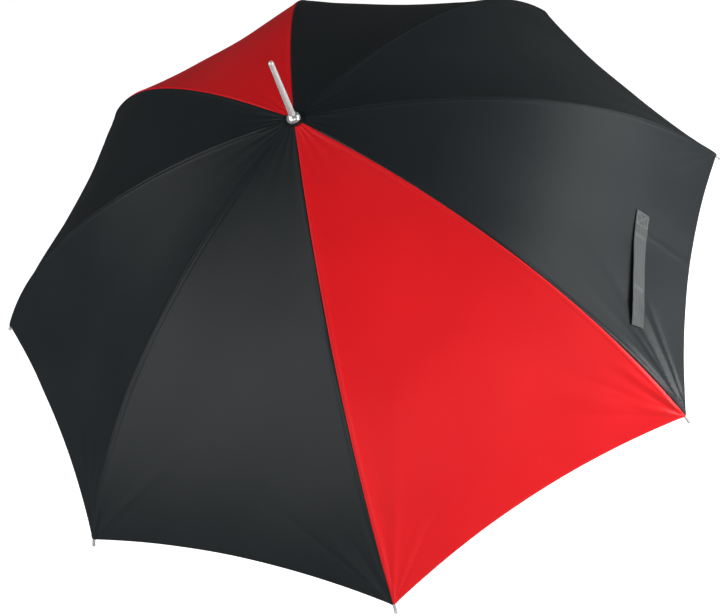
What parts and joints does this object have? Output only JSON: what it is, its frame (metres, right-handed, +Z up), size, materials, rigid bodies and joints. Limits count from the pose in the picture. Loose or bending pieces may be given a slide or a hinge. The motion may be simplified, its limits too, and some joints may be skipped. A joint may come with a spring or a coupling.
{
  "type": "golf umbrella",
  "caption": "Large golf umbrella, open, with alternating cloth panels on hinged ribs, a sliding runner, stretchers, a crown spike and a straight hand grip.",
  "frame": {"origin": "middle of the hand grip, on the shaft's axis", "axes": "+Z up the shaft toward the crown; -Y faces the middle of one red panel and +Y the other"},
  "size_m": [1.2228, 1.2228, 1.061],
  "materials": {
    "shaft": "satin black lacquer",
    "ferrule": "satin anodised",
    "crown_cap": "polished",
    "rosette": "matt woven",
    "notch": "moulded",
    "wire": "drawn wire",
    "runner": "moulded, fine texture",
    "spring_steel": "sprung strip",
    "grip": "soft foam",
    "end_cap": "moulded",
    "webbing": "woven webbing",
    "cloth_red": "plain weave nylon, slight sheen",
    "cloth_black": "plain weave nylon, slight sheen",
    "frame_steel": "black lacquer",
    "glass_fibre": "pultruded rod",
    "tip_metal": "polished",
    "hem_tape": "narrow woven binding"
  },
  "bodies": {
    "shaft": {"shaft": "shaft", "ferrule": "ferrule", "crown_cap": "crown_cap", "rosette": "rosette", "crown_notch": "notch", "crown_wire": "wire", "grip": "grip", "grip_end_cap": "end_cap"},
    "runner": {"runner": "runner"},
    "top_catch": {"top_catch": "spring_steel"},
    "bottom_catch": {"bottom_catch": "spring_steel"},
    "rib_1": {"rib_1": "frame_steel"},
    "canopy_1": {"panel_1": "cloth_black"},
    "canopy_hem_1": {"hem_1": "hem_tape"},
    "rod_1": {"rod_1": "glass_fibre", "tip_1": "tip_metal"},
    "stretcher_1": {"stretcher_1": "frame_steel"},
    "rib_2": {"rib_2": "frame_steel"},
    "canopy_2": {"panel_2": "cloth_black"},
    "canopy_hem_2": {"hem_2": "hem_tape"},
    "rod_2": {"rod_2": "glass_fibre", "tip_2": "tip_metal"},
    "stretcher_2": {"stretcher_2": "frame_steel"},
    "rib_3": {"rib_3": "frame_steel"},
    "canopy_3": {"panel_3": "cloth_red"},
    "canopy_hem_3": {"hem_3": "hem_tape"},
    "rod_3": {"rod_3": "glass_fibre", "tip_3": "tip_metal"},
    "stretcher_3": {"stretcher_3": "frame_steel"},
    "rib_4": {"rib_4": "frame_steel"},
    "canopy_4": {"panel_4": "cloth_black"},
    "canopy_hem_4": {"hem_4": "hem_tape", "tie_strap": "webbing"},
    "rod_4": {"rod_4": "glass_fibre", "tip_4": "tip_metal"},
    "stretcher_4": {"stretcher_4": "frame_steel"},
    "rib_5": {"rib_5": "frame_steel"},
    "canopy_5": {"panel_5": "cloth_black"},
    "canopy_hem_5": {"hem_5": "hem_tape"},
    "rod_5": {"rod_5": "glass_fibre", "tip_5": "tip_metal"},
    "stretcher_5": {"stretcher_5": "frame_steel"},
    "rib_6": {"rib_6": "frame_steel"},
    "canopy_6": {"panel_6": "cloth_black"},
    "canopy_hem_6": {"hem_6": "hem_tape"},
    "rod_6": {"rod_6": "glass_fibre", "tip_6": "tip_metal"},
    "stretcher_6": {"stretcher_6": "frame_steel"},
    "rib_7": {"rib_7": "frame_steel"},
    "canopy_7": {"panel_7": "cloth_red"},
    "canopy_hem_7": {"hem_7": "hem_tape"},
    "rod_7": {"rod_7": "glass_fibre", "tip_7": "tip_metal"},
    "stretcher_7": {"stretcher_7": "frame_steel"},
    "rib_8": {"rib_8": "frame_steel"},
    "canopy_8": {"panel_8": "cloth_black"},
    "canopy_hem_8": {"hem_8": "hem_tape"},
    "rod_8": {"rod_8": "glass_fibre", "tip_8": "tip_metal"},
    "stretcher_8": {"stretcher_8": "frame_steel"}
  },
  "joints": [
    {"name": "runner_slide", "type": "slide", "parent": "shaft", "child": "runner", "axis": [0, 0, -1], "range_m": [0, 0.47312]},
    {"name": "rib_1_hinge", "type": "hinge", "parent": "shaft", "child": "rib_1", "pos_m": [-0.01247, 0.00517, 0.85], "axis": [-0.3827, -0.9239, 0], "range_deg": [0, 72.12]},
    {"name": "canopy_1_fold", "type": "hinge", "parent": "shaft", "child": "canopy_1", "pos_m": [-0.01247, 0, 0.85], "axis": [0, -1, 0], "range_deg": [0, 71.05], "deforming": ["panel_1"]},
    {"name": "canopy_hem_1_flex", "type": "hinge", "parent": "canopy_1", "child": "canopy_hem_1", "pos_m": [-0.32232, 0, 0.77336], "axis": [0, -1, 0], "range_deg": [-20.05, 0], "deforming": ["hem_1"]},
    {"name": "rod_1_flex", "type": "hinge", "parent": "rib_1", "child": "rod_1", "pos_m": [-0.32112, 0.13301, 0.77033], "axis": [-0.3827, -0.9239, 0], "range_deg": [-18.05, 0]},
    {"name": "stretcher_1_hinge", "type": "hinge", "parent": "rib_1", "child": "stretcher_1", "pos_m": [-0.30641, 0.12692, 0.77107], "axis": [-0.3827, -0.9239, 0], "range_deg": [-138.99, 0]},
    {"name": "rib_2_hinge", "type": "hinge", "parent": "shaft", "child": "rib_2", "pos_m": [-0.01247, -0.00517, 0.85], "axis": [0.3827, -0.9239, 0], "range_deg": [0, 72.12]},
    {"name": "canopy_2_fold", "type": "hinge", "parent": "shaft", "child": "canopy_2", "pos_m": [-0.00882, -0.00882, 0.85], "axis": [0.7071, -0.7071, 0], "range_deg": [0, 71.05], "deforming": ["panel_2"]},
    {"name": "canopy_hem_2_flex", "type": "hinge", "parent": "canopy_2", "child": "canopy_hem_2", "pos_m": [-0.22792, -0.22792, 0.77336], "axis": [0.7071, -0.7071, 0], "range_deg": [-20.05, 0], "deforming": ["hem_2"]},
    {"name": "rod_2_flex", "type": "hinge", "parent": "rib_2", "child": "rod_2", "pos_m": [-0.32112, -0.13301, 0.77033], "axis": [0.3827, -0.9239, 0], "range_deg": [-18.05, 0]},
    {"name": "stretcher_2_hinge", "type": "hinge", "parent": "rib_2", "child": "stretcher_2", "pos_m": [-0.30641, -0.12692, 0.77107], "axis": [0.3827, -0.9239, 0], "range_deg": [-138.99, 0]},
    {"name": "rib_3_hinge", "type": "hinge", "parent": "shaft", "child": "rib_3", "pos_m": [-0.00517, -0.01247, 0.85], "axis": [0.9239, -0.3827, 0], "range_deg": [0, 72.12]},
    {"name": "canopy_3_fold", "type": "hinge", "parent": "shaft", "child": "canopy_3", "pos_m": [0, -0.01247, 0.85], "axis": [1, 0, 0], "range_deg": [0, 71.05], "deforming": ["panel_3"]},
    {"name": "canopy_hem_3_flex", "type": "hinge", "parent": "canopy_3", "child": "canopy_hem_3", "pos_m": [0, -0.32232, 0.77336], "axis": [1, 0, 0], "range_deg": [-20.05, 0], "deforming": ["hem_3"]},
    {"name": "rod_3_flex", "type": "hinge", "parent": "rib_3", "child": "rod_3", "pos_m": [-0.13301, -0.32112, 0.77033], "axis": [0.9239, -0.3827, 0], "range_deg": [-18.05, 0]},
    {"name": "stretcher_3_hinge", "type": "hinge", "parent": "rib_3", "child": "stretcher_3", "pos_m": [-0.12692, -0.30641, 0.77107], "axis": [0.9239, -0.3827, 0], "range_deg": [-138.99, 0]},
    {"name": "rib_4_hinge", "type": "hinge", "parent": "shaft", "child": "rib_4", "pos_m": [0.00517, -0.01247, 0.85], "axis": [0.9239, 0.3827, 0], "range_deg": [0, 72.12]},
    {"name": "canopy_4_fold", "type": "hinge", "parent": "shaft", "child": "canopy_4", "pos_m": [0.00882, -0.00882, 0.85], "axis": [0.7071, 0.7071, 0], "range_deg": [0, 71.05], "deforming": ["panel_4"]},
    {"name": "canopy_hem_4_flex", "type": "hinge", "parent": "canopy_4", "child": "canopy_hem_4", "pos_m": [0.22792, -0.22792, 0.77336], "axis": [0.7071, 0.7071, 0], "range_deg": [-20.05, 0], "deforming": ["hem_4", "tie_strap"]},
    {"name": "rod_4_flex", "type": "hinge", "parent": "rib_4", "child": "rod_4", "pos_m": [0.13301, -0.32112, 0.77033], "axis": [0.9239, 0.3827, 0], "range_deg": [-18.05, 0]},
    {"name": "stretcher_4_hinge", "type": "hinge", "parent": "rib_4", "child": "stretcher_4", "pos_m": [0.12692, -0.30641, 0.77107], "axis": [0.9239, 0.3827, 0], "range_deg": [-138.99, 0]},
    {"name": "rib_5_hinge", "type": "hinge", "parent": "shaft", "child": "rib_5", "pos_m": [0.01247, -0.00517, 0.85], "axis": [0.3827, 0.9239, 0], "range_deg": [0, 72.12]},
    {"name": "canopy_5_fold", "type": "hinge", "parent": "shaft", "child": "canopy_5", "pos_m": [0.01247, 0, 0.85], "axis": [0, 1, 0], "range_deg": [0, 71.05], "deforming": ["panel_5"]},
    {"name": "canopy_hem_5_flex", "type": "hinge", "parent": "canopy_5", "child": "canopy_hem_5", "pos_m": [0.32232, 0, 0.77336], "axis": [0, 1, 0], "range_deg": [-20.05, 0], "deforming": ["hem_5"]},
    {"name": "rod_5_flex", "type": "hinge", "parent": "rib_5", "child": "rod_5", "pos_m": [0.32112, -0.13301, 0.77033], "axis": [0.3827, 0.9239, 0], "range_deg": [-18.05, 0]},
    {"name": "stretcher_5_hinge", "type": "hinge", "parent": "rib_5", "child": "stretcher_5", "pos_m": [0.30641, -0.12692, 0.77107], "axis": [0.3827, 0.9239, 0], "range_deg": [-138.99, 0]},
    {"name": "rib_6_hinge", "type": "hinge", "parent": "shaft", "child": "rib_6", "pos_m": [0.01247, 0.00517, 0.85], "axis": [-0.3827, 0.9239, 0], "range_deg": [0, 72.12]},
    {"name": "canopy_6_fold", "type": "hinge", "parent": "shaft", "child": "canopy_6", "pos_m": [0.00882, 0.00882, 0.85], "axis": [-0.7071, 0.7071, 0], "range_deg": [0, 71.05], "deforming": ["panel_6"]},
    {"name": "canopy_hem_6_flex", "type": "hinge", "parent": "canopy_6", "child": "canopy_hem_6", "pos_m": [0.22792, 0.22792, 0.77336], "axis": [-0.7071, 0.7071, 0], "range_deg": [-20.05, 0], "deforming": ["hem_6"]},
    {"name": "rod_6_flex", "type": "hinge", "parent": "rib_6", "child": "rod_6", "pos_m": [0.32112, 0.13301, 0.77033], "axis": [-0.3827, 0.9239, 0], "range_deg": [-18.05, 0]},
    {"name": "stretcher_6_hinge", "type": "hinge", "parent": "rib_6", "child": "stretcher_6", "pos_m": [0.30641, 0.12692, 0.77107], "axis": [-0.3827, 0.9239, 0], "range_deg": [-138.99, 0]},
    {"name": "rib_7_hinge", "type": "hinge", "parent": "shaft", "child": "rib_7", "pos_m": [0.00517, 0.01247, 0.85], "axis": [-0.9239, 0.3827, 0], "range_deg": [0, 72.12]},
    {"name": "canopy_7_fold", "type": "hinge", "parent": "shaft", "child": "canopy_7", "pos_m": [0, 0.01247, 0.85], "axis": [-1, 0, 0], "range_deg": [0, 71.05], "deforming": ["panel_7"]},
    {"name": "canopy_hem_7_flex", "type": "hinge", "parent": "canopy_7", "child": "canopy_hem_7", "pos_m": [0, 0.32232, 0.77336], "axis": [-1, 0, 0], "range_deg": [-20.05, 0], "deforming": ["hem_7"]},
    {"name": "rod_7_flex", "type": "hinge", "parent": "rib_7", "child": "rod_7", "pos_m": [0.13301, 0.32112, 0.77033], "axis": [-0.9239, 0.3827, 0], "range_deg": [-18.05, 0]},
    {"name": "stretcher_7_hinge", "type": "hinge", "parent": "rib_7", "child": "stretcher_7", "pos_m": [0.12692, 0.30641, 0.77107], "axis": [-0.9239, 0.3827, 0], "range_deg": [-138.99, 0]},
    {"name": "rib_8_hinge", "type": "hinge", "parent": "shaft", "child": "rib_8", "pos_m": [-0.00517, 0.01247, 0.85], "axis": [-0.9239, -0.3827, 0], "range_deg": [0, 72.12]},
    {"name": "canopy_8_fold", "type": "hinge", "parent": "shaft", "child": "canopy_8", "pos_m": [-0.00882, 0.00882, 0.85], "axis": [-0.7071, -0.7071, 0], "range_deg": [0, 71.05], "deforming": ["panel_8"]},
    {"name": "canopy_hem_8_flex", "type": "hinge", "parent": "canopy_8", "child": "canopy_hem_8", "pos_m": [-0.22792, 0.22792, 0.77336], "axis": [-0.7071, -0.7071, 0], "range_deg": [-20.05, 0], "deforming": ["hem_8"]},
    {"name": "rod_8_flex", "type": "hinge", "parent": "rib_8", "child": "rod_8", "pos_m": [-0.13301, 0.32112, 0.77033], "axis": [-0.9239, -0.3827, 0], "range_deg": [-18.05, 0]},
    {"name": "stretcher_8_hinge", "type": "hinge", "parent": "rib_8", "child": "stretcher_8", "pos_m": [-0.12692, 0.30641, 0.77107], "axis": [-0.9239, -0.3827, 0], "range_deg": [-138.99, 0]},
    {"name": "top_catch_press", "type": "hinge", "parent": "shaft", "child": "top_catch", "pos_m": [0, -0.0058, 0.5404], "axis": [-1, 0, 0], "range_deg": [0, 4], "stiffness_Nm_per_rad": 0.05},
    {"name": "bottom_catch_press", "type": "hinge", "parent": "shaft", "child": "bottom_catch", "pos_m": [0, -0.0058, 0.1409], "axis": [1, 0, 0], "range_deg": [0, 4], "stiffness_Nm_per_rad": 0.05}
  ],
  "couplings": [
    {"joint": "canopy_1_fold", "follows": "runner_slide", "rad_per_m": 2.6192},
    {"joint": "canopy_hem_1_flex", "follows": "runner_slide", "rad_per_m": -0.73779},
    {"joint": "rib_1_hinge", "follows": "runner_slide", "rad_per_m": 2.6585},
    {"joint": "rod_1_flex", "follows": "runner_slide", "rad_per_m": -0.66401},
    {"joint": "stretcher_1_hinge", "follows": "runner_slide", "rad_per_m": -5.1255},
    {"joint": "canopy_2_fold", "follows": "runner_slide", "rad_per_m": 2.6192},
    {"joint": "canopy_hem_2_flex", "follows": "runner_slide", "rad_per_m": -0.73779},
    {"joint": "rib_2_hinge", "follows": "runner_slide", "rad_per_m": 2.6585},
    {"joint": "rod_2_flex", "follows": "runner_slide", "rad_per_m": -0.66401},
    {"joint": "stretcher_2_hinge", "follows": "runner_slide", "rad_per_m": -5.1255},
    {"joint": "canopy_3_fold", "follows": "runner_slide", "rad_per_m": 2.6192},
    {"joint": "canopy_hem_3_flex", "follows": "runner_slide", "rad_per_m": -0.73779},
    {"joint": "rib_3_hinge", "follows": "runner_slide", "rad_per_m": 2.6585},
    {"joint": "rod_3_flex", "follows": "runner_slide", "rad_per_m": -0.66401},
    {"joint": "stretcher_3_hinge", "follows": "runner_slide", "rad_per_m": -5.1255},
    {"joint": "canopy_4_fold", "follows": "runner_slide", "rad_per_m": 2.6192},
    {"joint": "canopy_hem_4_flex", "follows": "runner_slide", "rad_per_m": -0.73779},
    {"joint": "rib_4_hinge", "follows": "runner_slide", "rad_per_m": 2.6585},
    {"joint": "rod_4_flex", "follows": "runner_slide", "rad_per_m": -0.66401},
    {"joint": "stretcher_4_hinge", "follows": "runner_slide", "rad_per_m": -5.1255},
    {"joint": "canopy_5_fold", "follows": "runner_slide", "rad_per_m": 2.6192},
    {"joint": "canopy_hem_5_flex", "follows": "runner_slide", "rad_per_m": -0.73779},
    {"joint": "rib_5_hinge", "follows": "runner_slide", "rad_per_m": 2.6585},
    {"joint": "rod_5_flex", "follows": "runner_slide", "rad_per_m": -0.66401},
    {"joint": "stretcher_5_hinge", "follows": "runner_slide", "rad_per_m": -5.1255},
    {"joint": "canopy_6_fold", "follows": "runner_slide", "rad_per_m": 2.6192},
    {"joint": "canopy_hem_6_flex", "follows": "runner_slide", "rad_per_m": -0.73779},
    {"joint": "rib_6_hinge", "follows": "runner_slide", "rad_per_m": 2.6585},
    {"joint": "rod_6_flex", "follows": "runner_slide", "rad_per_m": -0.66401},
    {"joint": "stretcher_6_hinge", "follows": "runner_slide", "rad_per_m": -5.1255},
    {"joint": "canopy_7_fold", "follows": "runner_slide", "rad_per_m": 2.6192},
    {"joint": "canopy_hem_7_flex", "follows": "runner_slide", "rad_per_m": -0.73779},
    {"joint": "rib_7_hinge", "follows": "runner_slide", "rad_per_m": 2.6585},
    {"joint": "rod_7_flex", "follows": "runner_slide", "rad_per_m": -0.66401},
    {"joint": "stretcher_7_hinge", "follows": "runner_slide", "rad_per_m": -5.1255},
    {"joint": "canopy_8_fold", "follows": "runner_slide", "rad_per_m": 2.6192},
    {"joint": "canopy_hem_8_flex", "follows": "runner_slide", "rad_per_m": -0.73779},
    {"joint": "rib_8_hinge", "follows": "runner_slide", "rad_per_m": 2.6585},
    {"joint": "rod_8_flex", "follows": "runner_slide", "rad_per_m": -0.66401},
    {"joint": "stretcher_8_hinge", "follows": "runner_slide", "rad_per_m": -5.1255}
  ]
}
